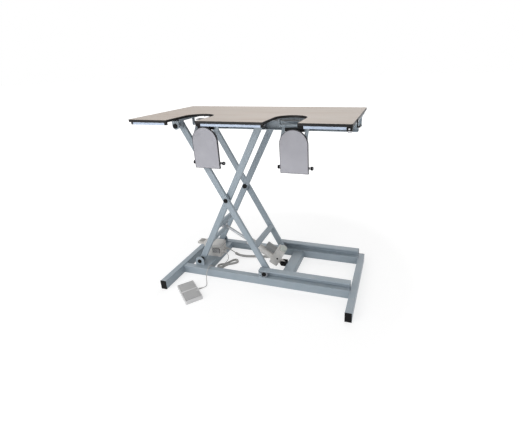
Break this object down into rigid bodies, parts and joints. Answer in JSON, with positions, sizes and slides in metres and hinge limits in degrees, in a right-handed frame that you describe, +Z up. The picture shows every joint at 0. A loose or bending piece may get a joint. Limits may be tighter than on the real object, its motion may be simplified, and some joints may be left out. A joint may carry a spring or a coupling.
{
  "type": "veterinary ultrasound table",
  "caption": "Height-adjustable veterinary ultrasound table: scissor-lift steel frame on a flat H base, laminate top with arched cut-outs, drop-down flaps, electric drive and foot switch.",
  "frame": {"origin": "on the floor under the middle of the base rails", "axes": "+X along the tabletop towards the end with the hook, -Y towards the side with the cut-outs, +Z up"},
  "size_m": [1.228, 0.741, 1.0747],
  "materials": {
    "frame_paint": "blue-grey powder coat",
    "laminate": "matt laminate board",
    "edge_black": "satin edge band",
    "black_plastic": "moulded plastic",
    "rail_metal": "anodised",
    "flap_plastic": "matt sheet plastic",
    "steel": "zinc plated",
    "black_steel": "satin black enamel",
    "drive_plastic": "moulded housing",
    "rod_steel": "polished",
    "nylon": "nylon",
    "pedal_dark": "moulded plastic",
    "pedal_light": "moulded plastic",
    "cable_jacket": "soft grey jacket"
  },
  "bodies": {
    "base": {"left_foot_tube": "frame_paint", "right_foot_tube": "frame_paint", "foot_end_caps": "black_plastic", "front_side_rail": "frame_paint", "rear_side_rail": "frame_paint", "front_lower_track": "frame_paint", "rear_lower_track": "frame_paint", "drive_cross_member": "frame_paint", "left_cross_member": "frame_paint", "fixed_pivot_brackets": "frame_paint", "base_pins": "steel", "base_pivot_caps": "black_plastic", "drive_clevis": "black_steel", "control_box": "drive_plastic", "control_box_lid": "drive_plastic", "pedal_base": "pedal_light", "pedal_cable": "cable_jacket", "cable_hank": "cable_jacket", "control_cable": "cable_jacket", "motor_cable": "cable_jacket"},
    "outer_scissor": {"outer_front_arm": "frame_paint", "outer_rear_arm": "frame_paint", "outer_cross_tube": "frame_paint", "outer_arm_plugs": "black_plastic", "outer_frame_pins": "steel", "outer_frame_caps": "black_plastic"},
    "inner_scissor": {"inner_front_arm": "frame_paint", "inner_rear_arm": "frame_paint", "inner_cross_tubes": "frame_paint", "inner_arm_plugs": "black_plastic", "rod_lug": "frame_paint", "inner_frame_pins": "steel"},
    "front_lower_roller_body": {"front_lower_roller": "nylon"},
    "rear_lower_roller_body": {"rear_lower_roller": "nylon"},
    "front_upper_roller_body": {"front_upper_roller": "nylon"},
    "rear_upper_roller_body": {"rear_upper_roller": "nylon"},
    "drive_housing": {"drive_gearbox": "drive_plastic", "drive_motor": "drive_plastic", "drive_barrel": "drive_plastic"},
    "drive_rod": {"piston_rod": "rod_steel"},
    "top": {"tabletop_board": "laminate", "board_edge_band": "edge_black", "upper_front_track": "frame_paint", "upper_rear_track": "frame_paint", "top_cross_tubes": "frame_paint", "top_pivot_brackets": "frame_paint", "top_pivot_bolts": "steel", "top_pivot_caps": "black_plastic", "front_edge_rails": "rail_metal", "edge_rail_caps": "black_plastic", "end_hook": "black_plastic", "flap_hinge_bars": "frame_paint"},
    "left_flap": {"left_flap_panel": "flap_plastic", "left_flap_yoke": "frame_paint", "left_flap_stop_bar": "steel"},
    "right_flap": {"right_flap_panel": "flap_plastic", "right_flap_yoke": "frame_paint", "right_flap_stop_bar": "steel"},
    "left_pedal": {"left_treadle": "pedal_dark"},
    "right_pedal": {"right_treadle": "pedal_dark"}
  },
  "joints": [
    {"name": "lift", "type": "hinge", "parent": "base", "child": "inner_scissor", "pos_m": [-0.466, 0, 0.0805], "axis": [0, 1, 0], "range_deg": [0, 40]},
    {"name": "scissor_cross", "type": "hinge", "parent": "inner_scissor", "child": "outer_scissor", "pos_m": [-0.22196, 0, 0.54533], "axis": [0, 1, 0], "range_deg": [-80, 0]},
    {"name": "top_level", "type": "hinge", "parent": "outer_scissor", "child": "top", "pos_m": [-0.466, 0, 1.01016], "axis": [0, 1, 0], "range_deg": [0, 40]},
    {"name": "drive_swing", "type": "hinge", "parent": "base", "child": "drive_housing", "pos_m": [0.078, 0, 0.048], "axis": [0, 1, 0], "range_deg": [-7.5, 0]},
    {"name": "rod_swing", "type": "hinge", "parent": "inner_scissor", "child": "drive_rod", "pos_m": [-0.345, 0, 0.292], "axis": [0, 1, 0], "range_deg": [-47.6, 0]},
    {"name": "front_lower_roller_spin", "type": "hinge", "parent": "outer_scissor", "child": "front_lower_roller_body", "pos_m": [0.02208, -0.196, 0.0805], "axis": [0, 1, 0], "continuous": true},
    {"name": "front_upper_roller_spin", "type": "hinge", "parent": "inner_scissor", "child": "front_upper_roller_body", "pos_m": [0.02208, -0.09, 1.01016], "axis": [0, 1, 0], "continuous": true},
    {"name": "rear_lower_roller_spin", "type": "hinge", "parent": "outer_scissor", "child": "rear_lower_roller_body", "pos_m": [0.02208, 0.196, 0.0805], "axis": [0, 1, 0], "continuous": true},
    {"name": "rear_upper_roller_spin", "type": "hinge", "parent": "inner_scissor", "child": "rear_upper_roller_body", "pos_m": [0.02208, 0.09, 1.01016], "axis": [0, 1, 0], "continuous": true},
    {"name": "left_flap_hinge", "type": "hinge", "parent": "top", "child": "left_flap", "pos_m": [-0.293, -0.14867, 1.01833], "axis": [1, 0, 0], "range_deg": [-90, 0]},
    {"name": "right_flap_hinge", "type": "hinge", "parent": "top", "child": "right_flap", "pos_m": [0.243, -0.14867, 1.01833], "axis": [1, 0, 0], "range_deg": [-90, 0]},
    {"name": "left_treadle_press", "type": "hinge", "parent": "base", "child": "left_pedal", "pos_m": [-0.41239, -0.35364, 0.021], "axis": [0.7581, -0.6521, 0], "range_deg": [0, 4], "stiffness_Nm_per_rad": 3, "springref_deg": -3.44},
    {"name": "right_treadle_press", "type": "hinge", "parent": "base", "child": "right_pedal", "pos_m": [-0.34075, -0.41526, 0.021], "axis": [0.7581, -0.6521, 0], "range_deg": [0, 4], "stiffness_Nm_per_rad": 3, "springref_deg": -3.44}
  ],
  "couplings": [
    {"joint": "scissor_cross", "follows": "lift", "ratio": -2},
    {"joint": "top_level", "follows": "lift", "ratio": 1},
    {"joint": "drive_swing", "follows": "lift", "ratio": -0.187},
    {"joint": "rod_swing", "follows": "lift", "ratio": -1.187}
  ]
}
